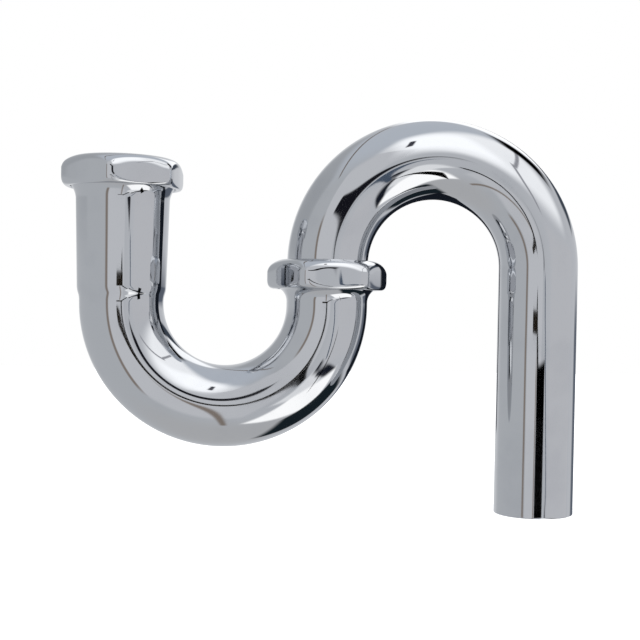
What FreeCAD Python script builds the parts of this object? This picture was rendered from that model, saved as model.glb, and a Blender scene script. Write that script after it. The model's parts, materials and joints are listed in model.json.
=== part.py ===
import FreeCAD, Part
import math
import os
from FreeCAD import Vector

# An s trap in 1 1/2 in tube: a J-bend and an outlet bend, with a slip joint at the inlet and one between them.
# The origin is on the inlet's axis, where the straight socket begins. +Z is up and +X runs to the outlet.
# Lengths are in millimetres and angles in degrees.

# Tube
tube_od = 38.1
tube_wall = 0.9

# Centre-line radius of each half-turn
j_bend_radius = 47.5
outlet_bend_radius = 51.0

# Straight runs
socket_length = 39.0
socket_taper = 1.0
swage_length = 7.0
j_inlet_straight = 0.5
j_outlet_straight = 2.0
bend_start_above_rim = 3.6
outlet_leg_length = 118.0

# Belled and threaded end of the J-bend, the same at the inlet and at the middle joint
thread_step = 4.45
thread_length = 7.9
flare_length = 6.5
bell_wall = 1.5

# Clearances, measured on the radius
slip_clearance = 0.2
thread_clearance = 0.3
nut_hole_clearance = 1.3
ring_hole_clearance = 0.8
ring_edge_clearance = 0.6
washer_bore_clearance = 0.3
washer_edge_clearance = 0.8
spigot_clearance = 0.3
seat_gap = 0.3

# Washer and friction ring
washer_thickness = 2.0
washer_spigot_depth = 2.5
washer_spigot_taper = 1.0
ring_thickness = 0.8

# Slip nut: a hexagon with round corners, a domed shoulder and a rounded foot
nut_engagement = 8.6
nut_lip_thickness = 2.2
nut_flat_wall = 1.95
nut_corner_wall = 5.15
nut_corner_round = 5.0
nut_top_land = 1.7
nut_foot_land = 0.6
nut_foot_height = 3.8
nut_band_height = 3.0
nut_shoulder_bulge = 0.4
inlet_nut_clocking = -8.0
middle_nut_clocking = -26.0

# Radii that follow from the sizes above
tube_r = tube_od / 2
tube_bore_r = tube_r - tube_wall
socket_bore_r = tube_r + slip_clearance
socket_foot_r = socket_bore_r + tube_wall
socket_top_r = socket_foot_r + socket_taper
thread_r = tube_r + thread_step
bell_bore_r = thread_r - bell_wall
nut_bore_r = thread_r + thread_clearance
nut_hole_r = tube_r + nut_hole_clearance
nut_flat_r = nut_bore_r + nut_flat_wall
nut_corner_r = nut_bore_r + nut_corner_wall
nut_top_r = nut_hole_r + nut_top_land
nut_foot_r = nut_bore_r + nut_foot_land

# Levels on the two upright axes
bell_length = flare_length + thread_length
inlet_rim_z = bell_length
j_centre_z = -(socket_length + swage_length + j_inlet_straight)
middle_flare_z = j_centre_z + j_outlet_straight
middle_rim_z = middle_flare_z + bell_length
outlet_centre_z = middle_rim_z + bend_start_above_rim
outlet_end_z = outlet_centre_z - outlet_leg_length

# Places of the upright axes along X
inlet_x = 0.0
middle_x = inlet_x + 2 * j_bend_radius
outlet_x = middle_x + 2 * outlet_bend_radius

UP = Vector(0, 0, 1)
FULL_TURN = 360
HALF_TURN = 180
HEX_SIDES = 6


def point(p):
    """A (radius, height) pair as a point in the XZ plane."""
    return Vector(p[0], 0, p[1])


def line(a, b):
    return Part.LineSegment(point(a), point(b)).toShape()


def upright_arc(a, b):
    """The arc that leaves a straight up or down and ends at b."""
    dr = b[0] - a[0]
    dz = b[1] - a[1]
    rho = (dr * dr + dz * dz) / (2 * dr)
    half = math.atan2(dz / rho, (rho - dr) / rho) / 2
    middle = (a[0] + rho - rho * math.cos(half), a[1] + rho * math.sin(half))
    return Part.Arc(point(a), point(middle), point(b)).toShape()


def bulged_arc(a, b, bulge):
    """The arc from a to b that stands out by bulge to the right of its chord."""
    dr = b[0] - a[0]
    dz = b[1] - a[1]
    chord = math.hypot(dr, dz)
    middle = ((a[0] + b[0]) / 2 + bulge * dz / chord, (a[1] + b[1]) / 2 - bulge * dr / chord)
    return Part.Arc(point(a), point(middle), point(b)).toShape()


def turned(edges, x, z):
    """The solid turned from a closed profile about the upright axis at x, with the profile's zero at height z."""
    face = Part.Face(Part.Wire(Part.__sortEdges__(edges)))
    solid = face.revolve(Vector(0, 0, 0), UP, FULL_TURN)
    solid.translate(Vector(x, 0, z))
    return solid


def polyline(points):
    return [line(a, b) for a, b in zip(points, points[1:])]


def tube_section(x, z):
    """The tube's ring-shaped cross-section, level, at the given place."""
    centre = Vector(x, 0, z)
    outer = Part.Wire(Part.makeCircle(tube_r, centre, UP))
    bore = Part.Wire(Part.makeCircle(tube_bore_r, centre, UP))
    return Part.makeFace([outer, bore], "Part::FaceMakerBullseye")


def half_turn(x, z, radius, side):
    """A tube bent through half a turn towards +X, over the top for side 1 and under for side -1."""
    return tube_section(x, z).revolve(Vector(x + radius, 0, z), Vector(0, side, 0), HALF_TURN)


def straight_tube(x, z_low, z_high):
    return tube_section(x, z_low).extrude(Vector(0, 0, z_high - z_low))


def seam_inward(shape, x):
    """The shape turned half way round the axis at x, so that its seam meets the seam at a bend's far end."""
    return shape.rotated(Vector(x, 0, 0), UP, HALF_TURN)


def one_piece(shapes):
    """The shapes joined to one solid."""
    joined = shapes[0].fuse(shapes[1:]).removeSplitter()
    solid = joined.Solids[0]
    if len(joined.Solids) != 1 or not solid.isValid():
        raise ValueError("the pieces do not join to one solid")
    return solid


def flare_radius(leg_r):
    """Radius of the curve that leads a leg of radius leg_r out to the thread."""
    step = thread_r - leg_r
    return (step * step + flare_length * flare_length) / (2 * step)


def height_inside_flare(leg_r, leg_bore_r, r):
    """Height above the flare's foot at which its inner wall has the radius r."""
    rho = flare_radius(leg_r) + leg_r - leg_bore_r
    step = r - leg_bore_r
    return math.sqrt(2 * rho * step - step * step)


def bell_edges(leg_r, leg_bore_r):
    """Profile of a bell from its foot on the leg's outside, over the rim, to its foot on the leg's inside."""
    shoulder = (thread_r, flare_length)
    throat = (bell_bore_r, height_inside_flare(leg_r, leg_bore_r, bell_bore_r))
    rim = [shoulder, (thread_r, bell_length), (bell_bore_r, bell_length), throat]
    outside = upright_arc((leg_r, 0), shoulder)
    inside = upright_arc((leg_bore_r, 0), throat)
    return [outside] + polyline(rim) + [inside]


def swage_edges(upper_r, lower_r, z_top, z_foot):
    """The double curve that leads the socket in to the tube."""
    middle = ((upper_r + lower_r) / 2, (z_top + z_foot) / 2)
    return [upright_arc((upper_r, z_top), middle), upright_arc((lower_r, z_foot), middle)]


def make_j_bend():
    swage_top = -socket_length
    swage_foot = swage_top - swage_length
    inlet_edges = bell_edges(socket_top_r, socket_bore_r)
    inlet_edges += swage_edges(socket_foot_r, tube_r, swage_top, swage_foot)
    inlet_edges += swage_edges(socket_bore_r, tube_bore_r, swage_top, swage_foot)
    inlet_edges.append(line((socket_top_r, 0), (socket_foot_r, swage_top)))
    inlet_edges.append(line((socket_bore_r, 0), (socket_bore_r, swage_top)))
    foot = [(tube_r, swage_foot), (tube_r, j_centre_z), (tube_bore_r, j_centre_z), (tube_bore_r, swage_foot)]
    inlet_edges += polyline(foot)
    inlet_leg = turned(inlet_edges, inlet_x, 0)

    middle_edges = bell_edges(tube_r, tube_bore_r)
    low = -j_outlet_straight
    middle_edges += polyline([(tube_r, 0), (tube_r, low), (tube_bore_r, low), (tube_bore_r, 0)])
    middle_leg = seam_inward(turned(middle_edges, middle_x, middle_flare_z), middle_x)

    bend = half_turn(inlet_x, j_centre_z, j_bend_radius, -1)
    return one_piece([inlet_leg, bend, middle_leg])


def make_outlet_bend():
    seat = height_inside_flare(tube_r, tube_bore_r, tube_r + seat_gap)
    entry = straight_tube(middle_x, middle_flare_z + seat, outlet_centre_z)
    bend = half_turn(middle_x, outlet_centre_z, outlet_bend_radius, 1)
    leg = seam_inward(straight_tube(outlet_x, outlet_end_z, outlet_centre_z), outlet_x)
    return one_piece([entry, bend, leg])


def make_washer(x, rim_z):
    """A washer on the bell's rim, with a tapered spigot inside the bell."""
    bore = tube_r + washer_bore_clearance
    edge = nut_bore_r - washer_edge_clearance
    spigot = bell_bore_r - spigot_clearance
    tip = spigot - washer_spigot_taper
    profile = [
        (bore, washer_thickness),
        (edge, washer_thickness),
        (edge, 0),
        (spigot, 0),
        (tip, -washer_spigot_depth),
        (bore, -washer_spigot_depth),
        (bore, washer_thickness),
    ]
    return turned(polyline(profile), x, rim_z)


def make_ring(x, rim_z):
    """A thin flat ring between the washer and the nut's lip."""
    bore = tube_r + ring_hole_clearance
    edge = nut_bore_r - ring_edge_clearance
    profile = [(bore, 0), (edge, 0), (edge, ring_thickness), (bore, ring_thickness), (bore, 0)]
    return turned(polyline(profile), x, rim_z + washer_thickness)


def hexagon(height, clocking):
    """A six-sided bar with round corners, one corner turned by clocking from the front towards +X."""
    corner_r = nut_flat_r / math.cos(math.pi / HEX_SIDES)
    corners = []
    for side in range(HEX_SIDES + 1):
        angle = math.radians(clocking) + 2 * math.pi * side / HEX_SIDES
        corners.append(Vector(corner_r * math.sin(angle), -corner_r * math.cos(angle), 0))
    bar = Part.Face(Part.makePolygon(corners)).extrude(Vector(0, 0, height))
    upright = [edge for edge in bar.Edges if abs(edge.tangentAt(edge.FirstParameter).z) > 0.5]
    return bar.makeFillet(nut_corner_round, upright)


def make_nut(x, rim_z, clocking):
    lip_z = nut_engagement + washer_thickness + ring_thickness
    top_z = lip_z + nut_lip_thickness
    shoulder_z = nut_foot_height + nut_band_height
    foot = (nut_foot_r, 0)
    band_low = (nut_corner_r, nut_foot_height)
    band_high = (nut_corner_r, shoulder_z)
    top = (nut_top_r, top_z)
    edges = [upright_arc(band_low, foot), bulged_arc(band_high, top, nut_shoulder_bulge)]
    edges += polyline([band_low, band_high])
    hole = [top, (nut_hole_r, top_z), (nut_hole_r, lip_z), (nut_bore_r, lip_z), (nut_bore_r, 0), foot]
    edges += polyline(hole)
    nut = turned(edges, 0, 0).common(hexagon(top_z, clocking)).Solids[0]
    nut.translate(Vector(x, 0, rim_z - nut_engagement))
    return nut


def main():
    pieces = {
        "j_bend": make_j_bend(),
        "outlet_bend": make_outlet_bend(),
        "inlet_slip_nut": make_nut(inlet_x, inlet_rim_z, inlet_nut_clocking),
        "inlet_friction_ring": make_ring(inlet_x, inlet_rim_z),
        "inlet_slip_washer": make_washer(inlet_x, inlet_rim_z),
        "middle_slip_nut": make_nut(middle_x, middle_rim_z, middle_nut_clocking),
        "middle_friction_ring": make_ring(middle_x, middle_rim_z),
        "middle_slip_washer": make_washer(middle_x, middle_rim_z),
    }
    os.makedirs("parts", exist_ok=True)
    for name, shape in pieces.items():
        shape.exportStep(os.path.join("parts", name + ".step"))
        box = shape.BoundBox
        print(f"{name}: {shape.Volume:.1f} mm3, X {box.XMin:.2f} to {box.XMax:.2f}, "
              f"Y {box.YMin:.2f} to {box.YMax:.2f}, Z {box.ZMin:.2f} to {box.ZMax:.2f}")


main()
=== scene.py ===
import json
import math

import bmesh
import bpy
from bpy.props import FloatProperty, FloatVectorProperty, PointerProperty
from bpy.types import Operator, Panel, PropertyGroup
from mathutils import Matrix, Vector


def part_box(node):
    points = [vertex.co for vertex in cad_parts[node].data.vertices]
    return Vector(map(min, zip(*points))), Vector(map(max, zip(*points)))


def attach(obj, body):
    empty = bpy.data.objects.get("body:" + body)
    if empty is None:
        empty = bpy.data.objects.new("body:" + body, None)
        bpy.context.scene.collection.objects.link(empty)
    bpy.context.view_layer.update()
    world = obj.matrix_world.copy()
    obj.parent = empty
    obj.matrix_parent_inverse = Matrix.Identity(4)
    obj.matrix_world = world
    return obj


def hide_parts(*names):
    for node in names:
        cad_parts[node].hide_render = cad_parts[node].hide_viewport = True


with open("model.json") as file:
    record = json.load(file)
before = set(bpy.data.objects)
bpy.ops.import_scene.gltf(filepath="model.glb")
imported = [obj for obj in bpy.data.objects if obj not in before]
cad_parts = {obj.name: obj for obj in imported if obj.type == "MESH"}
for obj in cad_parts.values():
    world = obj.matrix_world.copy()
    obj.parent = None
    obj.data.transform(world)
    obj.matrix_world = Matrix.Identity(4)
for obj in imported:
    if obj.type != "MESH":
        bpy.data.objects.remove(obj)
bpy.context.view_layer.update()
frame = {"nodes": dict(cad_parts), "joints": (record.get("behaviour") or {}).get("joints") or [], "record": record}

bl_info = {
    "name": "S trap",
    "version": (1, 0, 0),
    "blender": (4, 5, 0),
    "location": "View3D > Sidebar > S Trap",
    "description": "Chromed tubular s trap with two slip joints, built around its packed frame",
    "category": "Object",
}

# ---------------------------------------------------------------- places and sizes from the frame

MOUNTS = {mount["name"]: mount for mount in frame["record"]["mounts"]}
JOINTS = {joint["name"]: joint for joint in frame["joints"]}
INLET_AXIS = Vector(MOUNTS["inlet_socket"]["pos_m"])
MIDDLE_AXIS = Vector(JOINTS["middle_swivel"]["pos_m"])
OUTLET_AXIS = Vector(MOUNTS["outlet_leg"]["pos_m"])
J_LOW, J_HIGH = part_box("j_bend")
RETURN_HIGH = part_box("outlet_bend")[1]
NUT_LOW, NUT_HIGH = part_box("inlet_slip_nut")
TUBE_RADIUS = RETURN_HIGH.x - OUTLET_AXIS.x
SOCKET_BORE = MOUNTS["inlet_socket"]["dims"]["r_mm"] / 1000
SOCKET_DEPTH = MOUNTS["inlet_socket"]["dims"]["length_mm"] / 1000
J_RADIUS = (MIDDLE_AXIS.xy - INLET_AXIS.xy).length / 2
RETURN_RADIUS = (OUTLET_AXIS.xy - MIDDLE_AXIS.xy).length / 2
RETURN_SWING = math.atan2(OUTLET_AXIS.y - MIDDLE_AXIS.y, OUTLET_AXIS.x - MIDDLE_AXIS.x)
INLET_RIM = JOINTS["inlet_nut_turn"]["pos_m"][2]

# The stage: the middle of the trap, that it is set around, and the upright plane beside the camera
STAGE_CENTRE = Vector(((INLET_AXIS.x + OUTLET_AXIS.x) / 2, 0, MIDDLE_AXIS.z))
CAMERA_PLANE = -0.57

# Steps that the round forms are divided into
AROUND = 96
BEND_STEPS = 80
FLARE_STEPS = 12
THROAT_STEPS = 10
SWAGE_STEPS = 6
NUT_AROUND = 240
NUT_FOOT_STEPS = 12
NUT_SHOULDER_STEPS = 18
THREAD_SIDES = 6
THREAD_STEPS = 72
THREAD_RUN_OUT = 24

# Small lengths, in metres
INSIDE_BOX = 1e-6       # keeps the tubes' ends just inside the CAD box
MERGE_WITHIN = 1e-6     # vertices nearer than this are one
RIM_SOFT = 0.0004       # softness of a bell's outside edges
THROAT_SOFT = 0.0003    # softness of a bell's inside edge
NUT_SOFT = 0.0003       # softness of a nut's lip and bore
BESIDE_CURVE = 0.0008   # straight strip beside a curve, which keeps its shading even
THREAD_END = 0.0012     # room between the thread's ends and the flare or the rim
THREAD_SUNK = 0.0003    # depth of the thread's foot inside the bell
FOOT_MARGIN = 0.0001    # how far inside the foot's radius the pressing of the flats begins

# Shares
RIDGE_HEIGHT = 0.46     # half height of the thread's ridge, against the pitch
RIDGE_LEFT = 0.1        # what is left of the ridge where it runs out
EDGE_MIDDLE = 0.3       # how far in the middle of a rounded cut edge lies, against its rounding
EDGE_STRIP = 4          # straight strip beside a cut edge, against its rounding


def length(name, description, default):
    return FloatProperty(name=name, description=description, default=default, subtype="DISTANCE", unit="LENGTH",
                         precision=5)


def angle(name, description, default):
    return FloatProperty(name=name, description=description, default=default, subtype="ANGLE", unit="ROTATION")


def colour(name, description, default):
    return FloatVectorProperty(name=name, description=description, default=default, subtype="COLOR", size=3,
                               min=0.0, max=1.0)


def number(name, description, default):
    return FloatProperty(name=name, description=description, default=default)


class STRAP_PG_tube(PropertyGroup):
    """The two bent tubes"""
    radius: length("Tube radius", "Outside radius of the tube", TUBE_RADIUS)
    wall: length("Tube wall", "Wall of the tube", 0.0009)
    j_level: length("J-bend level", "Height at which the lower half-turn begins",
                    J_LOW.z + J_RADIUS + TUBE_RADIUS)
    return_radius: length("Return bend radius", "Centre-line radius of the upper half-turn", RETURN_RADIUS)
    return_level: length("Return bend level", "Height at which the upper half-turn begins",
                         RETURN_HIGH.z - RETURN_RADIUS - TUBE_RADIUS - INSIDE_BOX)
    return_swing: angle("Return bend swing", "How far the outlet is swung about the middle joint",
                        RETURN_SWING)
    outlet_end: length("Outlet end", "Height of the outlet leg's cut end", OUTLET_AXIS.z + INSIDE_BOX)
    edge: length("Cut edge", "Rounding of a cut edge of the tube", 0.0002)


class STRAP_PG_joint(PropertyGroup):
    """The belled and threaded ends and the inlet socket"""
    socket_bore: length("Socket bore", "Inside radius of the inlet socket", SOCKET_BORE)
    socket_depth: length("Socket depth", "Length of the straight inlet socket", SOCKET_DEPTH)
    socket_taper: length("Socket taper", "How much the socket's outside grows from its foot to the bell", 0.001)
    swage: length("Swage", "Length of the step from the socket to the tube", 0.007)
    flare: length("Flare", "Height of the curve that opens each bell", 0.0065)
    thread_radius: length("Thread radius", "Radius over the crests of the thread", J_HIGH.y)
    thread_pitch: length("Thread pitch", "Climb of the thread in one turn", 0.002209)
    thread_depth: length("Thread depth", "Height of the crests above the roots", 0.0007)
    bell_wall: length("Bell wall", "Wall of the bell under the crests", 0.0015)
    inlet_rim: length("Inlet rim", "Height of the inlet bell's rim", INLET_RIM)
    middle_rim: length("Middle rim", "Height of the middle bell's rim", MIDDLE_AXIS.z)
    slip_depth: length("Slip depth", "How far the outlet tube reaches below the middle rim", 0.0102)


class STRAP_PG_nut(PropertyGroup):
    """The two slip nuts"""
    height: length("Height", "Height of a nut", NUT_HIGH.z - NUT_LOW.z)
    engagement: length("Engagement", "How far a nut reaches below the bell's rim", INLET_RIM - NUT_LOW.z)
    flat_radius: length("Flat radius", "Distance from the axis to a flat", 0.02585)
    corner_radius: length("Corner radius", "Distance from the axis to a corner", 0.0294)
    corner_round: length("Corner rounding", "Radius of the upright corners", 0.0042)
    flat_crown: length("Flat crown", "How much the middle of a flat stands out", 0.0004)
    foot_radius: length("Foot radius", "Outside radius at the foot", 0.0244)
    foot_height: length("Foot height", "Height of the rounded foot", 0.0044)
    band_height: length("Band height", "Height of the band between the foot and the shoulder", 0.0035)
    shoulder_bulge: length("Shoulder bulge", "How far the shoulder stands out from a straight cone", 0.0009)
    top_radius: length("Top radius", "Outside radius of the top", 0.02205)
    hole_radius: length("Hole radius", "Radius of the hole in the lip", 0.02035)
    bore_radius: length("Bore radius", "Radius inside the nut", 0.0238)
    lip: length("Lip", "Thickness of the lip at the top", 0.0022)
    edge: length("Edge softness", "How softly the flats run into the shoulder and the foot", 0.0026)
    inlet_clocking: angle("Inlet clocking", "Turn of the inlet nut's corner from the front",
                          math.radians(-8))
    middle_clocking: angle("Middle clocking", "Turn of the middle nut's corner from the front",
                           math.radians(-26))


class STRAP_PG_finish(PropertyGroup):
    """Colours of the finishes"""
    chrome: colour("Chrome", "Tint of the polished chrome", (0.60, 0.615, 0.64))
    chrome_haze: colour("Chrome haze", "Tint where handling has dulled the chrome", (0.53, 0.545, 0.575))
    brass: colour("Brass", "Tint of the bare brass", (0.62, 0.44, 0.20))
    brass_stain: colour("Brass stain", "Tint of the tarnish on the brass", (0.24, 0.16, 0.075))
    rubber: colour("Rubber", "Colour of the washers", (0.028, 0.028, 0.030))
    rubber_bloom: colour("Rubber bloom", "Colour of the pale bloom on the washers", (0.075, 0.074, 0.072))


class STRAP_PG_studio(PropertyGroup):
    """Camera, floor and light"""
    camera_place: FloatVectorProperty(name="Camera place", description="Where the camera stands",
                                      default=(0.05216, -0.54110, -0.04835), size=3,
                                      subtype="TRANSLATION", unit="LENGTH")
    camera_yaw: angle("Camera yaw", "Turn of the camera to the right", 0.1292)
    camera_pitch: angle("Camera pitch", "Tilt of the camera upwards", -0.0163)
    camera_roll: angle("Camera roll", "Roll of the camera", 0.0198)
    camera_lens: number("Camera lens", "Focal length in millimetres on a 36 mm sensor", 64.516)
    camera_shift_x: number("Camera shift X", "Sideways shift of the frame", -0.1)
    camera_shift_y: number("Camera shift Y", "Upward shift of the frame", 0.015625)
    floor_drop: length("Floor drop", "How far the floor lies below the outlet", 0.25)
    floor_middle: length("Floor middle", "Where the floor's middle lies along X", 0.1)
    floor_reach: length("Floor reach", "Distance from the floor's middle to its edge", 6.0)
    floor_white: colour("Floor white", "Colour of the floor", (0.85, 0.85, 0.85))
    floor_glow: number("Floor glow", "Glow that is added where the floor is seen", 0.62)
    tent_radius: length("Tent radius", "Radius of the light tent", 1.6)
    tent_left: colour("Tent left", "Colour of the tent's left side", (0.60, 0.615, 0.635))
    tent_right: colour("Tent right", "Colour of the tent's right side", (0.70, 0.71, 0.735))
    tent_top: colour("Tent top", "Colour of the tent's top", (0.66, 0.70, 0.76))
    tent_table: colour("Tent table", "Colour of the table under the trap", (0.60, 0.60, 0.605))
    tent_back: colour("Tent back", "Colour of the tent's back", (0.76, 0.77, 0.79))


GROUPS = {
    "strap_tube": STRAP_PG_tube,
    "strap_joint": STRAP_PG_joint,
    "strap_nut": STRAP_PG_nut,
    "strap_finish": STRAP_PG_finish,
    "strap_studio": STRAP_PG_studio,
}


# ---------------------------------------------------------------- node helpers

def add_node(tree, kind, **values):
    node = tree.nodes.new(kind)
    for name, value in values.items():
        setattr(node, name, value)
    return node


def set_inputs(node, **values):
    for name, value in values.items():
        node.inputs[name.replace("_", " ")].default_value = value


def group_tree(name, inputs, outputs):
    """An empty shader node group with the named sockets, and its two end nodes."""
    tree = bpy.data.node_groups.new(name, "ShaderNodeTree")
    for label, kind, default in inputs:
        socket = tree.interface.new_socket(label, in_out="INPUT", socket_type=kind)
        if default is not None:
            socket.default_value = default
    for label, kind in outputs:
        tree.interface.new_socket(label, in_out="OUTPUT", socket_type=kind)
    return tree, tree.nodes.new("NodeGroupInput"), tree.nodes.new("NodeGroupOutput")


def noise(tree, vector, scale, detail, roughness=0.5):
    node = add_node(tree, "ShaderNodeTexNoise", noise_dimensions="3D")
    set_inputs(node, Detail=detail, Roughness=roughness)
    tree.links.new(vector, node.inputs["Vector"])
    if isinstance(scale, float):
        node.inputs["Scale"].default_value = scale
    else:
        tree.links.new(scale, node.inputs["Scale"])
    return node.outputs["Fac"]


def ramp(tree, value, low, high, to_low=0.0, to_high=1.0):
    node = add_node(tree, "ShaderNodeMapRange", interpolation_type="SMOOTHSTEP")
    node.inputs["From Min"].default_value = low
    node.inputs["From Max"].default_value = high
    node.inputs["To Min"].default_value = to_low
    node.inputs["To Max"].default_value = to_high
    tree.links.new(value, node.inputs["Value"])
    return node.outputs["Result"]


def maths(tree, operation, first, second):
    node = add_node(tree, "ShaderNodeMath", operation=operation)
    for socket, value in zip(node.inputs, (first, second)):
        if isinstance(value, (int, float)):
            socket.default_value = value
        else:
            tree.links.new(value, socket)
    return node.outputs["Value"]


def mix_colours(tree, factor, first, second):
    node = add_node(tree, "ShaderNodeMix", data_type="RGBA")
    for socket, value in ((node.inputs[6], first), (node.inputs[7], second)):
        if isinstance(value, bpy.types.NodeSocket):
            tree.links.new(value, socket)
        else:
            socket.default_value = (*value, 1.0)
    tree.links.new(factor, node.inputs[0])
    return node.outputs[2]


def handling_group():
    """Soft smudges, fine specks and a slow waviness, shared by every finish."""
    found = bpy.data.node_groups.get("Handling marks")
    if found:
        return found
    tree, ins, outs = group_tree(
        "Handling marks",
        [("Vector", "NodeSocketVector", None), ("Smudge Scale", "NodeSocketFloat", 40.0),
         ("Speck Scale", "NodeSocketFloat", 900.0), ("Wave Scale", "NodeSocketFloat", 22.0)],
        [("Smudge", "NodeSocketFloat"), ("Speck", "NodeSocketFloat"), ("Wave", "NodeSocketFloat")],
    )
    smudge = noise(tree, ins.outputs["Vector"], ins.outputs["Smudge Scale"], 4.0, 0.55)
    speck = noise(tree, ins.outputs["Vector"], ins.outputs["Speck Scale"], 2.0, 0.6)
    wave = noise(tree, ins.outputs["Vector"], ins.outputs["Wave Scale"], 1.0, 0.4)
    tree.links.new(ramp(tree, smudge, 0.46, 0.72), outs.inputs["Smudge"])
    tree.links.new(ramp(tree, speck, 0.58, 0.74), outs.inputs["Speck"])
    tree.links.new(wave, outs.inputs["Wave"])
    return tree


def new_material(name):
    """A material with only a Principled shader, and its tree, shader and Object coordinates."""
    material = bpy.data.materials.new(name)
    material.use_nodes = True
    tree = material.node_tree
    shader = tree.nodes["Principled BSDF"]
    place = add_node(tree, "ShaderNodeTexCoord").outputs["Object"]
    return material, tree, shader, place


def handling_marks(tree, place, smudge, speck, wave):
    """Places the handling marks with their own scales, and gives the outputs by name."""
    node = add_node(tree, "ShaderNodeGroup", node_tree=handling_group())
    set_inputs(node, Smudge_Scale=smudge, Speck_Scale=speck, Wave_Scale=wave)
    tree.links.new(place, node.inputs["Vector"])
    return node.outputs


def bump(tree, shader, height, strength, distance):
    node = add_node(tree, "ShaderNodeBump")
    set_inputs(node, Strength=strength, Distance=distance)
    tree.links.new(height, node.inputs["Height"])
    tree.links.new(node.outputs["Normal"], shader.inputs["Normal"])


# ---------------------------------------------------------------- finishes

def dress(tree, shader, tint, roughness, metallic=1.0):
    """Feeds the shader's colour and roughness, and sets how metallic it is."""
    tree.links.new(tint, shader.inputs["Base Color"])
    tree.links.new(roughness, shader.inputs["Roughness"])
    shader.inputs["Metallic"].default_value = metallic


def chrome_finish():
    """Bright chrome with faint handling haze and the slow waviness of polished tube."""
    found = bpy.data.materials.get("Polished chrome")
    if found:
        return found
    colours = bpy.context.scene.strap_finish
    material, tree, shader, place = new_material("Polished chrome")
    marks = handling_marks(tree, place, smudge=38.0, speck=1400.0, wave=26.0)
    haze = maths(tree, "MULTIPLY", marks["Smudge"], 0.5)
    grain = maths(tree, "MULTIPLY", marks["Speck"], 0.03)
    dull = ramp(tree, marks["Smudge"], 0.0, 1.0, 0.035, 0.075)
    dress(tree, shader, mix_colours(tree, haze, colours.chrome, colours.chrome_haze),
          maths(tree, "ADD", dull, grain))
    bump(tree, shader, marks["Wave"], 0.10, 0.002)
    return material


def thread_finish():
    """Chrome over cut thread: satin crests, dirtier in patches."""
    found = bpy.data.materials.get("Chromed thread")
    if found:
        return found
    colours = bpy.context.scene.strap_finish
    material, tree, shader, place = new_material("Chromed thread")
    marks = handling_marks(tree, place, smudge=150.0, speck=2600.0, wave=90.0)
    dress(tree, shader, mix_colours(tree, marks["Smudge"], colours.chrome, colours.brass_stain),
          ramp(tree, marks["Smudge"], 0.0, 1.0, 0.16, 0.38))
    bump(tree, shader, marks["Speck"], 0.15, 0.0001)
    return material


def bore_finish():
    """The tube's bare inside: drawn brass, tarnished in soft patches."""
    found = bpy.data.materials.get("Bare brass bore")
    if found:
        return found
    colours = bpy.context.scene.strap_finish
    material, tree, shader, place = new_material("Bare brass bore")
    marks = handling_marks(tree, place, smudge=70.0, speck=1800.0, wave=30.0)
    stain = maths(tree, "MAXIMUM", marks["Smudge"], maths(tree, "MULTIPLY", marks["Speck"], 0.5))
    dress(tree, shader, mix_colours(tree, stain, colours.brass, colours.brass_stain),
          ramp(tree, stain, 0.0, 1.0, 0.30, 0.55))
    bump(tree, shader, marks["Speck"], 0.2, 0.0001)
    return material


def ring_finish(name, axis):
    """Turned brass: fine rings about the axis, with soft tarnish."""
    colours = bpy.context.scene.strap_finish
    material, tree, shader, place = new_material(name)
    centred = add_node(tree, "ShaderNodeMapping", vector_type="POINT")
    set_inputs(centred, Location=(-axis.x, -axis.y, 0.0))
    tree.links.new(place, centred.inputs["Vector"])
    rings = add_node(tree, "ShaderNodeTexWave", wave_type="RINGS", rings_direction="Z")
    set_inputs(rings, Scale=900.0, Distortion=1.5, Detail=2.0)
    tree.links.new(centred.outputs["Vector"], rings.inputs["Vector"])
    marks = handling_marks(tree, place, smudge=120.0, speck=2200.0, wave=40.0)
    dress(tree, shader, mix_colours(tree, marks["Smudge"], colours.brass, colours.brass_stain),
          ramp(tree, rings.outputs["Fac"], 0.0, 1.0, 0.24, 0.36))
    bump(tree, shader, rings.outputs["Fac"], 0.25, 0.00005)
    return material


def rubber_finish():
    """Black moulded rubber with a pale bloom and fine specks."""
    colours = bpy.context.scene.strap_finish
    material, tree, shader, place = new_material("Washer rubber")
    marks = handling_marks(tree, place, smudge=160.0, speck=3200.0, wave=60.0)
    dust = maths(tree, "MULTIPLY", marks["Speck"], 0.8)
    bloom = maths(tree, "MAXIMUM", maths(tree, "MULTIPLY", marks["Smudge"], 0.6), dust)
    dress(tree, shader, mix_colours(tree, bloom, colours.rubber, colours.rubber_bloom),
          ramp(tree, marks["Smudge"], 0.0, 1.0, 0.55, 0.75), metallic=0.0)
    bump(tree, shader, marks["Speck"], 0.35, 0.0001)
    return material


# ---------------------------------------------------------------- mesh helpers

def ring_edges(verts):
    """The edges that join the given vertices to each other."""
    chosen = set(verts)
    return list({edge for vert in verts for edge in vert.link_edges if edge.other_vert(vert) in chosen})


def ring_verts(edges):
    return list({vert for edge in edges for vert in edge.verts})


def start_ring(bm, axis, radius, z, segments=AROUND):
    """A level ring of edges about the upright axis."""
    made = bmesh.ops.create_circle(bm, segments=segments, radius=radius,
                                   matrix=Matrix.Translation((axis.x, axis.y, z)))
    return ring_edges(made["verts"])


def walk(bm, edges, axis, profile):
    """Extrudes a level ring about the axis through the profile's (radius, height) pairs.

    The first pair is where the ring is.
    """
    space = Matrix.Translation((-axis.x, -axis.y, 0))
    for (r0, z0), (r1, z1) in zip(profile, profile[1:]):
        made = bmesh.ops.extrude_edge_only(bm, edges=edges)
        verts = [item for item in made["geom"] if isinstance(item, bmesh.types.BMVert)]
        edges = [item for item in made["geom"] if isinstance(item, bmesh.types.BMEdge)]
        bmesh.ops.scale(bm, verts=verts, vec=(r1 / r0, r1 / r0, 1), space=space)
        bmesh.ops.translate(bm, verts=verts, vec=(0, 0, z1 - z0))
    return edges


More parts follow.
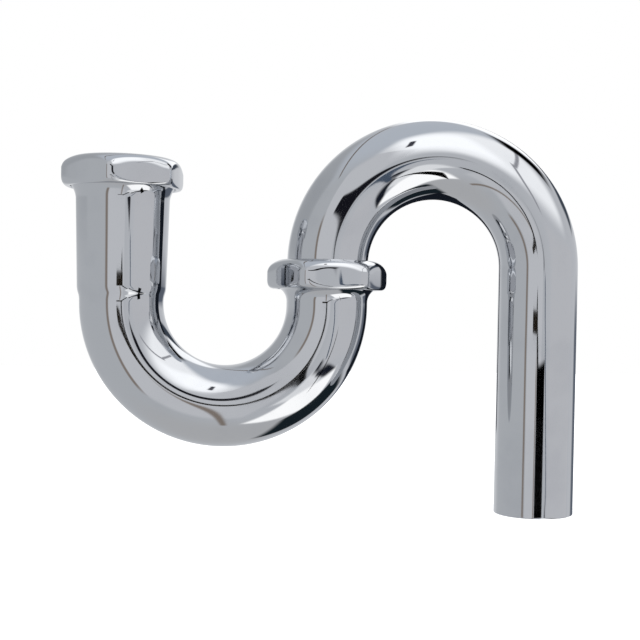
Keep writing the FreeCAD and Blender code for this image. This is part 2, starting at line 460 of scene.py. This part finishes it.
def half_turn(bm, edges, centre, direction):
    """Sweeps a ring through half a turn about a level axis through the centre."""
    made = bmesh.ops.spin(bm, geom=ring_verts(edges) + edges, cent=centre, axis=(0, direction, 0),
                          angle=math.pi, steps=BEND_STEPS, use_merge=False, use_duplicate=False)
    return [item for item in made["geom_last"] if isinstance(item, bmesh.types.BMEdge)]


def curve_up(start, end, steps):
    """Profile points of the arc that leaves start straight up or down and ends at end, both included."""
    dr, dz = end[0] - start[0], end[1] - start[1]
    rho = (dr * dr + dz * dz) / (2 * dr)
    sweep = math.atan2(dz / rho, (rho - dr) / rho)
    points = []
    for step in range(steps + 1):
        turn = sweep * step / steps
        points.append((start[0] + rho - rho * math.cos(turn), start[1] + rho * math.sin(turn)))
    return points


def step_curve(start, end, steps):
    """Profile points of the double curve of a swage, from start to end."""
    middle = ((start[0] + end[0]) / 2, (start[1] + end[1]) / 2)
    return curve_up(start, middle, steps) + curve_up(end, middle, steps)[-2::-1]


def settle_order(bm):
    """Puts the vertices and faces in an order that is the same at each run."""
    in_order = sorted(bm.verts, key=lambda vert: tuple(vert.co))
    places = {vert: place for place, vert in enumerate(in_order)}
    bm.verts.sort(key=places.get)
    in_order = sorted(bm.faces, key=lambda face: sorted(places[vert] for vert in face.verts))
    places = {face: place for place, face in enumerate(in_order)}
    bm.faces.sort(key=places.get)


def close_mesh(bm, name, materials):
    """Closes the shell, turns its faces outwards and makes the object."""
    bmesh.ops.remove_doubles(bm, verts=bm.verts[:], dist=MERGE_WITHIN)
    bmesh.ops.recalc_face_normals(bm, faces=bm.faces[:])
    open_edges = [edge for edge in bm.edges if not edge.is_manifold]
    if open_edges:
        raise RuntimeError(f"{name} has {len(open_edges)} open edges")
    settle_order(bm)
    for face in bm.faces:
        face.smooth = True
    mesh = bpy.data.meshes.new(name)
    bm.to_mesh(mesh)
    bm.free()
    for material in materials:
        mesh.materials.append(material)
    piece = bpy.data.objects.new(name, mesh)
    bpy.context.scene.collection.objects.link(piece)
    return piece


def paint_inside(bm, first):
    """Gives the bare bore's slot to the faces made since the first one counted."""
    for face in bm.faces[:][first:]:
        face.material_index = 1


def bell_outside(joint, leg_radius, foot_z, rim_z):
    """Profile of a bell's outside from its foot up to the rim, with the thread's root turned down."""
    root = joint.thread_radius - joint.thread_depth
    top = foot_z + joint.flare
    return curve_up((leg_radius, foot_z), (joint.thread_radius, top), FLARE_STEPS) + [
        (joint.thread_radius, top + RIM_SOFT / 2),
        (root, top + 2 * RIM_SOFT),
        (root, top + 2.5 * RIM_SOFT),
        (root, rim_z - 1.5 * RIM_SOFT),
        (root, rim_z - RIM_SOFT),
        (root - RIM_SOFT, rim_z),
    ]


def bell_inside(joint, leg_radius, leg_bore, foot_z, rim_z):
    """Profile of a bell's inside from the rim down to the leg's bore."""
    step = joint.thread_radius - leg_radius
    rho = (step * step + joint.flare ** 2) / (2 * step) + leg_radius - leg_bore
    bore = joint.thread_radius - joint.bell_wall
    rise = bore - leg_bore
    throat = (bore, foot_z + math.sqrt(2 * rho * rise - rise * rise))
    edge = [(bore + THROAT_SOFT, rim_z), (bore, rim_z - THROAT_SOFT), (bore, rim_z - 2 * THROAT_SOFT)]
    return edge + curve_up((leg_bore, foot_z), throat, THROAT_STEPS)[::-1]


def cut_edge(radius, z, soft):
    """Profile of a tube's softened outside edge, from the cut end up to the straight tube."""
    return [(radius - soft, z), (radius - soft * EDGE_MIDDLE, z + soft * EDGE_MIDDLE),
            (radius, z + soft), (radius, z + EDGE_STRIP * soft)]


def cut_edge_inside(bore, z, soft):
    """Profile of a tube's softened inside edge, from the cut end up to the straight tube."""
    return [(bore + soft, z), (bore, z + soft), (bore, z + EDGE_STRIP * soft)]


# ---------------------------------------------------------------- pieces

class STRAP_OT_j_bend(Operator):
    """Build the J-bend: inlet bell, socket, lower half-turn and middle bell in one tube"""
    bl_idname = "strap.j_bend"
    bl_label = "J-bend"

    def execute(self, context):
        tube, joint = context.scene.strap_tube, context.scene.strap_joint
        bore = tube.radius - tube.wall
        foot_radius = joint.socket_bore + tube.wall
        top_radius = foot_radius + joint.socket_taper
        swage_top, swage_foot = -joint.socket_depth, -joint.socket_depth - joint.swage
        bend_centre = Vector(((INLET_AXIS.x + MIDDLE_AXIS.x) / 2, 0, tube.j_level))
        middle_foot = joint.middle_rim - joint.inlet_rim

        bm = bmesh.new()
        outside = bell_outside(joint, top_radius, 0.0, joint.inlet_rim)[::-1]
        slope = (top_radius - foot_radius) / joint.socket_depth
        outside += [(top_radius - slope * BESIDE_CURVE, -BESIDE_CURVE),
                    (foot_radius + slope * BESIDE_CURVE, swage_top + BESIDE_CURVE)]
        outside += step_curve((foot_radius, swage_top), (tube.radius, swage_foot), SWAGE_STEPS)
        outside += [(tube.radius, tube.j_level)]
        rim = start_ring(bm, INLET_AXIS, *outside[0])
        edges = walk(bm, rim, INLET_AXIS, outside)
        edges = half_turn(bm, edges, bend_centre, -1)
        edges = walk(bm, edges, MIDDLE_AXIS,
                     [(tube.radius, tube.j_level), (tube.radius, middle_foot - BESIDE_CURVE)]
                     + bell_outside(joint, tube.radius, middle_foot, joint.middle_rim))
        first = len(bm.faces)
        inside = [(joint.thread_radius - joint.thread_depth - RIM_SOFT, joint.middle_rim)]
        inside += bell_inside(joint, tube.radius, bore, middle_foot, joint.middle_rim)
        edges = walk(bm, edges, MIDDLE_AXIS, inside + [(bore, tube.j_level)])
        edges = half_turn(bm, edges, bend_centre, 1)
        inside = [(bore, tube.j_level)]
        inside += step_curve((bore, swage_foot), (joint.socket_bore, swage_top), SWAGE_STEPS)
        inside += bell_inside(joint, top_radius, joint.socket_bore, 0.0, joint.inlet_rim)[::-1]
        walk(bm, edges, INLET_AXIS, inside + [outside[0]])
        paint_inside(bm, first)
        piece = close_mesh(bm, "j_bend_tube", [chrome_finish(), bore_finish()])
        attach(piece, "j_bend")
        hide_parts("j_bend")
        return {"FINISHED"}


class STRAP_OT_outlet_bend(Operator):
    """Build the outlet bend: slip end, upper half-turn and the long outlet leg in one tube"""
    bl_idname = "strap.outlet_bend"
    bl_label = "Outlet bend"

    def execute(self, context):
        tube, joint = context.scene.strap_tube, context.scene.strap_joint
        bore = tube.radius - tube.wall
        entry = joint.middle_rim - joint.slip_depth
        centre = Vector((MIDDLE_AXIS.x + tube.return_radius, MIDDLE_AXIS.y, tube.return_level))
        leg_axis = Vector((MIDDLE_AXIS.x + 2 * tube.return_radius, MIDDLE_AXIS.y, 0))
        soft, end = tube.edge, tube.outlet_end

        bm = bmesh.new()
        start = cut_edge(tube.radius, entry, soft)
        rim = start[0]
        edges = start_ring(bm, MIDDLE_AXIS, *rim)
        edges = walk(bm, edges, MIDDLE_AXIS, start + [(tube.radius, tube.return_level)])
        edges = half_turn(bm, edges, centre, 1)
        edges = walk(bm, edges, leg_axis, [(tube.radius, tube.return_level)]
                     + cut_edge(tube.radius, end, soft)[::-1] + [(bore + soft, end)])
        first = len(bm.faces)
        edges = walk(bm, edges, leg_axis, cut_edge_inside(bore, end, soft) + [(bore, tube.return_level)])
        edges = half_turn(bm, edges, centre, -1)
        walk(bm, edges, MIDDLE_AXIS, [(bore, tube.return_level)]
             + cut_edge_inside(bore, entry, soft)[::-1] + [rim])
        paint_inside(bm, first)
        bmesh.ops.rotate(bm, verts=bm.verts[:], cent=MIDDLE_AXIS,
                         matrix=Matrix.Rotation(tube.return_swing, 3, "Z"))
        piece = close_mesh(bm, "outlet_bend_tube", [chrome_finish(), bore_finish()])
        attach(piece, "outlet_bend")
        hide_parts("outlet_bend")
        return {"FINISHED"}


class STRAP_OT_threads(Operator):
    """Cut the slip thread on each bell, with its ends run out"""
    bl_idname = "strap.threads"
    bl_label = "Bell threads"

    def execute(self, context):
        joint = context.scene.strap_joint
        for name, axis, rim in (("inlet_bell_thread", INLET_AXIS, joint.inlet_rim),
                                ("middle_bell_thread", MIDDLE_AXIS, joint.middle_rim)):
            piece = self.thread(joint, name, axis, rim)
            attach(piece, "j_bend")
        return {"FINISHED"}

    def thread(self, joint, name, axis, rim):
        """A ridge with a flat crest, spun up the bell."""
        tall = joint.thread_depth + THREAD_SUNK
        inner = joint.thread_radius - tall
        low = rim - joint.inlet_rim + joint.flare + THREAD_END
        turns = (rim - THREAD_END - low) / joint.thread_pitch
        steps = round(THREAD_STEPS * turns)
        bm = bmesh.new()
        verts = bmesh.ops.create_circle(bm, segments=THREAD_SIDES, radius=1.0, cap_ends=True)["verts"]
        upright = Matrix.Rotation(math.radians(90), 3, "X")
        crest_out = Matrix.Rotation(math.radians(30), 3, "Y")
        bmesh.ops.rotate(bm, verts=verts, cent=(0, 0, 0), matrix=upright)
        bmesh.ops.rotate(bm, verts=verts, cent=(0, 0, 0), matrix=crest_out)
        bmesh.ops.scale(bm, verts=verts, vec=(tall / math.sqrt(3), 1, joint.thread_pitch * RIDGE_HEIGHT))
        bmesh.ops.translate(bm, verts=verts, vec=(axis.x + joint.thread_radius - tall / 2, axis.y, low))
        bmesh.ops.spin(bm, geom=bm.verts[:] + bm.edges[:] + bm.faces[:], cent=(axis.x, axis.y, 0),
                       axis=(0, 0, 1), dvec=(0, 0, joint.thread_pitch / THREAD_STEPS),
                       angle=2 * math.pi * steps / THREAD_STEPS, steps=steps,
                       use_merge=False, use_duplicate=False)
        bm.verts.ensure_lookup_table()
        for index, vert in enumerate(bm.verts):
            step = index // THREAD_SIDES
            share = min(1.0, min(step, steps - step) / THREAD_RUN_OUT)
            reach = (vert.co.xy - axis.xy).length
            ridge = (reach - inner) * (RIDGE_LEFT + (1 - RIDGE_LEFT) * share)
            drawn_in = inner - THREAD_SUNK * (1 - share) + ridge
            vert.co.xy = axis.xy + (vert.co.xy - axis.xy) * drawn_in / reach
        return close_mesh(bm, name, [thread_finish()])


class STRAP_OT_slip_nuts(Operator):
    """Turn the two slip nuts and press their six flats"""
    bl_idname = "strap.slip_nuts"
    bl_label = "Slip nuts"

    def execute(self, context):
        nut, joint = context.scene.strap_nut, context.scene.strap_joint
        for name, axis, rim, clocking in (
                ("inlet_slip_nut", INLET_AXIS, joint.inlet_rim, nut.inlet_clocking),
                ("middle_slip_nut", MIDDLE_AXIS, joint.middle_rim, nut.middle_clocking)):
            piece = self.nut(nut, name + "_hex", axis, rim - nut.engagement, clocking)
            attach(piece, name.replace("_slip", ""))
            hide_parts(name)
        return {"FINISHED"}

    def nut(self, nut, name, axis, foot, clocking):
        """A turned ring with a lip at its top, whose outside is then pressed to six flats."""
        soft, lip = NUT_SOFT, nut.height - nut.lip
        shoulder = nut.foot_height + nut.band_height
        outside = curve_up((nut.corner_radius, nut.foot_height), (nut.foot_radius, 0.0), NUT_FOOT_STEPS)[::-1]
        outside += [(nut.corner_radius, nut.foot_height + nut.band_height * share)
                    for share in (0.25, 0.5, 0.75)]
        outside += self.shoulder((nut.corner_radius, shoulder), (nut.top_radius, nut.height),
                                 nut.shoulder_bulge)
        inside = [
            (nut.top_radius - soft, nut.height), (nut.hole_radius + soft, nut.height),
            (nut.hole_radius, nut.height - soft), (nut.hole_radius, lip + soft),
            (nut.hole_radius + soft, lip), (nut.bore_radius - soft, lip),
            (nut.bore_radius, lip - soft), (nut.bore_radius, 3 * soft),
            (nut.bore_radius, 2 * soft), (nut.bore_radius + soft, 0.0),
            outside[0],
        ]
        profile = [(r, z + foot) for r, z in outside + inside]
        bm = bmesh.new()
        walk(bm, start_ring(bm, axis, *profile[0], NUT_AROUND), axis, profile)
        for vert in bm.verts:
            arm = vert.co.xy - axis.xy
            on_side = arm.length > nut.foot_radius - FOOT_MARGIN
            on_shoulder = vert.co.z > foot + shoulder and arm.length > nut.top_radius - soft / 2
            if on_side or on_shoulder:
                flat = self.hexagon(nut, math.atan2(arm.x, -arm.y) - clocking)
                vert.co.xy = axis.xy + arm * (self.blend(arm.length, flat, nut.edge) / arm.length)
        return close_mesh(bm, name, [chrome_finish()])

    def shoulder(self, start, end, bulge):
        """Profile points of the domed shoulder from the band to the top."""
        a, b = Vector(start), Vector(end)
        chord = b - a
        out = Vector((chord.y, -chord.x)).normalized()
        shares = [step / NUT_SHOULDER_STEPS for step in range(NUT_SHOULDER_STEPS + 1)]
        return [tuple(a + chord * t + out * bulge * 4 * t * (1 - t)) for t in shares]

    def hexagon(self, nut, turn):
        """Distance from the axis to the six-sided outline, turn radians from a corner.

        The corners are round and the flats are slightly crowned.
        """
        off_flat = turn % (math.pi / 3) - math.pi / 6
        inner = nut.flat_radius - nut.corner_round
        crown = nut.flat_crown * (1 - math.cos(6 * off_flat)) / 2
        if abs(math.tan(off_flat)) * nut.flat_radius <= inner * math.tan(math.pi / 6):
            return nut.flat_radius / math.cos(off_flat) - crown
        corner = inner / math.cos(math.pi / 6)
        off_corner = math.pi / 6 - abs(off_flat)
        return corner * math.cos(off_corner) + math.sqrt(
            nut.corner_round ** 2 - (corner * math.sin(off_corner)) ** 2) - crown

    def blend(self, turned, flat, softness):
        """The smaller of two distances, with a soft change from one to the other."""
        near = max(softness - abs(turned - flat), 0.0) / softness
        return min(turned, flat) - near * near * softness / 4


class STRAP_OT_seals(Operator):
    """Finish the washers and friction rings, which keep their turned form"""
    bl_idname = "strap.seals"
    bl_label = "Washers and rings"

    def execute(self, context):
        rubber = rubber_finish()
        finishes = {
            "inlet_slip_washer": rubber,
            "middle_slip_washer": rubber,
            "inlet_friction_ring": ring_finish("Turned brass, inlet", INLET_AXIS),
            "middle_friction_ring": ring_finish("Turned brass, middle", MIDDLE_AXIS),
        }
        for node, finish in finishes.items():
            for slot in frame["nodes"][node].material_slots:
                slot.material = finish
        return {"FINISHED"}


# ---------------------------------------------------------------- stage

def white_where_seen(tree, lit, white):
    """Mixes a shader that lights the part with plain white for what the camera and the reflections see."""
    path = add_node(tree, "ShaderNodeLightPath")
    seen = maths(tree, "MAXIMUM", path.outputs["Is Camera Ray"], path.outputs["Is Glossy Ray"])
    seen = maths(tree, "MAXIMUM", seen, path.outputs["Is Transmission Ray"])
    mix = add_node(tree, "ShaderNodeMixShader")
    tree.links.new(seen, mix.inputs["Fac"])
    tree.links.new(lit, mix.inputs[1])
    tree.links.new(white, mix.inputs[2])
    return mix.outputs["Shader"]


def stage_object(name, bm, material):
    """A stage object that the camera doesn't see, only the light and the reflections do."""
    mesh = bpy.data.meshes.new(name)
    bm.to_mesh(mesh)
    bm.free()
    mesh.materials.append(material)
    prop = bpy.data.objects.new(name, mesh)
    prop.visible_camera = False
    prop.visible_shadow = False
    bpy.context.scene.collection.objects.link(prop)
    return prop


def towards(azimuth, elevation):
    """Direction from the trap, in degrees to the right of the front and above the level."""
    a, e = math.radians(azimuth), math.radians(elevation)
    return Vector((math.sin(a) * math.cos(e), -math.cos(a) * math.cos(e), math.sin(e)))


def panel_finish(name, tint, glow, soft):
    """An even glow that fades out towards the panel's edges."""
    material = bpy.data.materials.new(name)
    material.use_nodes = True
    tree = material.node_tree
    tree.nodes.remove(tree.nodes["Principled BSDF"])
    place = add_node(tree, "ShaderNodeSeparateXYZ")
    tree.links.new(add_node(tree, "ShaderNodeTexCoord").outputs["Object"], place.inputs["Vector"])
    across = ramp(tree, maths(tree, "ABSOLUTE", place.outputs["X"], 0.0), 1.0 - soft[0], 1.0, 1.0, 0.0)
    along = ramp(tree, maths(tree, "ABSOLUTE", place.outputs["Y"], 0.0), 1.0 - soft[1], 1.0, 1.0, 0.0)
    light = add_node(tree, "ShaderNodeEmission")
    set_inputs(light, Color=(*tint, 1.0), Strength=glow)
    mix = add_node(tree, "ShaderNodeMixShader")
    tree.links.new(maths(tree, "MULTIPLY", across, along), mix.inputs["Fac"])
    tree.links.new(add_node(tree, "ShaderNodeBsdfTransparent").outputs[0], mix.inputs[1])
    tree.links.new(light.outputs[0], mix.inputs[2])
    tree.links.new(mix.outputs[0], tree.nodes["Material Output"].inputs["Surface"])
    return material


def sheet(name, place, facing, size, tint, glow=1.0, soft=(0.3, 0.3), turn=0.0):
    """A flat sheet of the given width and height that faces along a direction, turned in its own plane."""
    bm = bmesh.new()
    bmesh.ops.create_grid(bm, x_segments=1, y_segments=1, size=1.0)
    holder = stage_object(name, bm, panel_finish(name, tint, glow, soft))
    turned = facing.to_track_quat("Z", "Y").to_matrix().to_4x4() @ Matrix.Rotation(math.radians(turn), 4, "Z")
    spread = Matrix.Diagonal((size[0] / 2, size[1] / 2, 1, 1))
    holder.matrix_world = Matrix.Translation(place) @ turned @ spread


def panel(name, azimuth, elevation, width, height, tint, glow=1.0, soft=(0.3, 0.3), turn=0.0, away=0.8):
    """A sheet that faces the trap, with its place and size given in degrees as seen from there."""
    ahead = towards(azimuth, elevation)
    size = [2 * away * math.tan(math.radians(extent / 2)) for extent in (width, height)]
    sheet(name, STAGE_CENTRE + ahead * away, -ahead, size, tint, glow, soft, turn)


def bar(name, x, z, width, height, tint, soft, turn=0.0):
    """A sheet on the upright plane beside the camera, facing straight back."""
    place = Vector((x, CAMERA_PLANE, z))
    sheet(name, place, Vector((0, 1, 0)), (width, height), tint, soft=soft, turn=turn)


def tent_finish(studio):
    """The tent's cloth: grey on the left, lighter on the right and at the back, cooler overhead."""
    material = bpy.data.materials.new("Tent cloth")
    material.use_nodes = True
    tree = material.node_tree
    tree.nodes.remove(tree.nodes["Principled BSDF"])
    place = add_node(tree, "ShaderNodeVectorMath", operation="NORMALIZE")
    tree.links.new(add_node(tree, "ShaderNodeTexCoord").outputs["Object"], place.inputs[0])
    axes = add_node(tree, "ShaderNodeSeparateXYZ")
    tree.links.new(place.outputs["Vector"], axes.inputs["Vector"])
    cloth = mix_colours(tree, ramp(tree, axes.outputs["X"], -0.5, 0.6), studio.tent_left, studio.tent_right)
    cloth = mix_colours(tree, ramp(tree, axes.outputs["Z"], 0.6, 0.95), cloth, studio.tent_top)
    cloth = mix_colours(tree, ramp(tree, axes.outputs["Z"], -0.6, -0.95), cloth, studio.tent_table)
    cloth = mix_colours(tree, ramp(tree, axes.outputs["Y"], 0.75, 1.0), cloth, studio.tent_back)
    light = add_node(tree, "ShaderNodeEmission")
    tree.links.new(cloth, light.inputs["Color"])
    tree.links.new(light.outputs[0], tree.nodes["Material Output"].inputs["Surface"])
    return material


class STRAP_OT_studio(Operator):
    """Set the camera, the white floor, the light tent, its softboxes and its dark cards"""
    bl_idname = "strap.studio"
    bl_label = "Studio"

    def execute(self, context):
        studio = context.scene.strap_studio
        context.scene.view_settings.view_transform = "Standard"
        self.camera(context, studio)
        self.background(context)
        self.floor(studio)
        self.tent(studio)
        return {"FINISHED"}

    def camera(self, context, studio):
        yaw, pitch, roll = studio.camera_yaw, studio.camera_pitch, studio.camera_roll
        ahead = Vector((math.sin(yaw) * math.cos(pitch), math.cos(yaw) * math.cos(pitch),
                        math.sin(pitch)))
        level = Vector((math.cos(yaw), -math.sin(yaw), 0))
        upright = level.cross(ahead)
        right = math.cos(roll) * level + math.sin(roll) * upright
        up = math.cos(roll) * upright - math.sin(roll) * level
        data = bpy.data.cameras.new("Camera")
        data.sensor_fit = "HORIZONTAL"
        data.sensor_width = 36.0
        data.lens = studio.camera_lens
        data.shift_x, data.shift_y = studio.camera_shift_x, studio.camera_shift_y
        data.clip_start = 0.01
        holder = bpy.data.objects.new("Camera", data)
        turn = Matrix((right, up, -ahead)).transposed().to_4x4()
        holder.matrix_world = Matrix.Translation(studio.camera_place) @ turn
        context.scene.collection.objects.link(holder)
        context.scene.camera = holder

    def background(self, context):
        world = bpy.data.worlds.new("White background")
        world.use_nodes = True
        set_inputs(world.node_tree.nodes["Background"], Color=(1.0, 1.0, 1.0, 1.0), Strength=1.0)
        context.scene.world = world

    def floor(self, studio):
        """A white floor. The tent's underside stands in for it where the metal mirrors it."""
        bm = bmesh.new()
        middle = Vector((studio.floor_middle, 0, OUTLET_AXIS.z - studio.floor_drop))
        bmesh.ops.create_grid(bm, x_segments=1, y_segments=1, size=studio.floor_reach,
                              matrix=Matrix.Translation(middle))
        material = bpy.data.materials.new("Floor white")
        material.use_nodes = True
        tree = material.node_tree
        matt = tree.nodes["Principled BSDF"]
        matt.inputs["Base Color"].default_value = (*studio.floor_white, 1.0)
        matt.inputs["Roughness"].default_value = 0.9
        white = add_node(tree, "ShaderNodeEmission")
        set_inputs(white, Color=(1.0, 1.0, 1.0, 1.0), Strength=studio.floor_glow)
        both = add_node(tree, "ShaderNodeAddShader")
        tree.links.new(matt.outputs[0], both.inputs[0])
        tree.links.new(white.outputs[0], both.inputs[1])
        tree.links.new(white_where_seen(tree, matt.outputs[0], both.outputs[0]),
                       tree.nodes["Material Output"].inputs["Surface"])
        floor = stage_object("floor", bm, material)
        floor.visible_camera = True
        floor.visible_glossy = False

    def tent(self, studio):
        bm = bmesh.new()
        bmesh.ops.create_uvsphere(bm, u_segments=AROUND // 2, v_segments=AROUND // 4, radius=studio.tent_radius)
        tent = stage_object("light_tent", bm, tent_finish(studio))
        tent.matrix_world = Matrix.Translation(STAGE_CENTRE)
        white, black = (1.0, 1.0, 1.0), (0.0, 0.0, 0.0)
        seam, boom = (0.30, 0.25, 0.215), (0.42, 0.42, 0.45)
        # Pale cloths
        panel("left_panel", -122, 30, 78, 62, (0.50, 0.515, 0.535), soft=(0.4, 0.4), away=1.0)
        panel("front_panel", -16, 6, 46, 92, (0.75, 0.755, 0.775), soft=(0.15, 0.3), away=1.0)
        panel("right_panel", 62, -6, 78, 40, (0.72, 0.72, 0.74), soft=(0.3, 0.3), away=1.0)
        # Softboxes
        panel("upper_softbox", 46, 46, 88, 66, white, 1.35, soft=(0.5, 0.5), away=1.0)
        panel("upper_core", 20, 48, 40, 56, white, 1.6, soft=(0.6, 0.7), away=0.95)
        panel("lower_softbox", 46, -46, 52, 32, (1.0, 0.985, 0.96), 1.6, soft=(0.2, 0.3), away=0.9)
        panel("lower_wedge", 26, -27, 34, 15, white, 1.1, soft=(0.3, 0.4), turn=30, away=1.45)
        panel("back_softbox", 153, 36, 44, 34, white, 1.5, soft=(0.4, 0.4))
        # Dark cards
        panel("back_dark", 140, 19, 56, 15, (0.06, 0.075, 0.10), soft=(0.4, 0.5), away=0.75)
        panel("lower_dark", 112, -52, 46, 48, (0.012, 0.02, 0.026), soft=(0.2, 0.3))
        panel("upper_dark", 115, 42, 24, 30, black, soft=(0.5, 0.5))
        panel("right_dark", 142, -12, 56, 30, (0.14, 0.16, 0.20), soft=(0.4, 0.4))
        panel("slit_far", 45, -26, 54, 8.0, (0.012, 0.015, 0.025), soft=(0.1, 0.5), turn=20, away=1.4)
        # Seams of the tent and the arm of a lamp stand
        panel("left_seam", -40, -6, 9.0, 60, seam, soft=(0.8, 0.3), away=0.75)
        panel("front_seam", -7, -30, 4.0, 54, seam, soft=(0.8, 0.2), away=0.7)
        panel("top_seam", -118, 63, 80, 2.4, (0.20, 0.16, 0.13), soft=(0.2, 0.7), away=0.9)
        panel("boom_end", 3, 48, 3.0, 16, (0.05, 0.05, 0.07), soft=(0.5, 0.4), away=0.9)
        panel("boom_arm", 80, 46, 56, 3.0, boom, soft=(0.2, 0.7), turn=-12, away=0.9)
        panel("boom_leg", 40, 26, 34, 3.0, boom, soft=(0.2, 0.7), turn=-58, away=0.9)
        # Cards beside the camera
        bar("short_leg_bar", 0.122, -0.124, 0.25, 0.036, black, soft=(0.05, 0.4), turn=45)
        bar("crescent_bar", 0.08, 0.098, 0.38, 0.08, (0.01, 0.01, 0.015), soft=(0.15, 0.4), turn=27)
        bar("bend_line", 0.335, -0.125, 0.29, 0.022, (0.08, 0.11, 0.16), soft=(0.1, 0.5), turn=53)
        bar("camera_slot", -0.005, -0.058, 0.17, 0.026, (0.02, 0.015, 0.01), soft=(0.2, 0.2))
        # Cards close to the outlet leg
        sheet("back_post", Vector((0.158, 0.068, -0.05)), Vector((-0.88, -0.47, 0)), (0.055, 0.13),
              (0.01, 0.013, 0.02), soft=(0.2, 0.1))
        sheet("leg_flag", Vector((0.2006, -0.1647, -0.13)), Vector((0.838, 0.546, 0)), (0.115, 0.11),
              black, soft=(0.1, 0.1))


# ---------------------------------------------------------------- add-on

OPERATORS = (STRAP_OT_j_bend, STRAP_OT_outlet_bend, STRAP_OT_threads, STRAP_OT_slip_nuts, STRAP_OT_seals,
             STRAP_OT_studio)


class STRAP_PT_panel(Panel):
    """Sizes, colours and builders of the s trap"""
    bl_idname = "STRAP_PT_panel"
    bl_label = "S Trap"
    bl_space_type = "VIEW_3D"
    bl_region_type = "UI"
    bl_category = "S Trap"

    def draw(self, context):
        for builder in OPERATORS:
            self.layout.operator(builder.bl_idname)
        for name, group in GROUPS.items():
            box = self.layout.box()
            box.label(text=group.__doc__)
            for prop in group.__annotations__:
                box.prop(getattr(context.scene, name), prop)


CLASSES = (*GROUPS.values(), *OPERATORS, STRAP_PT_panel)


def register():
    for item in CLASSES:
        bpy.utils.register_class(item)
    for name, group in GROUPS.items():
        setattr(bpy.types.Scene, name, PointerProperty(type=group))


def unregister():
    for name in GROUPS:
        delattr(bpy.types.Scene, name)
    for item in reversed(CLASSES):
        bpy.utils.unregister_class(item)


def main():
    register()
    bpy.ops.strap.j_bend()
    bpy.ops.strap.outlet_bend()
    bpy.ops.strap.threads()
    bpy.ops.strap.slip_nuts()
    bpy.ops.strap.seals()
    bpy.ops.strap.studio()


if __name__ == "__main__":
    main()
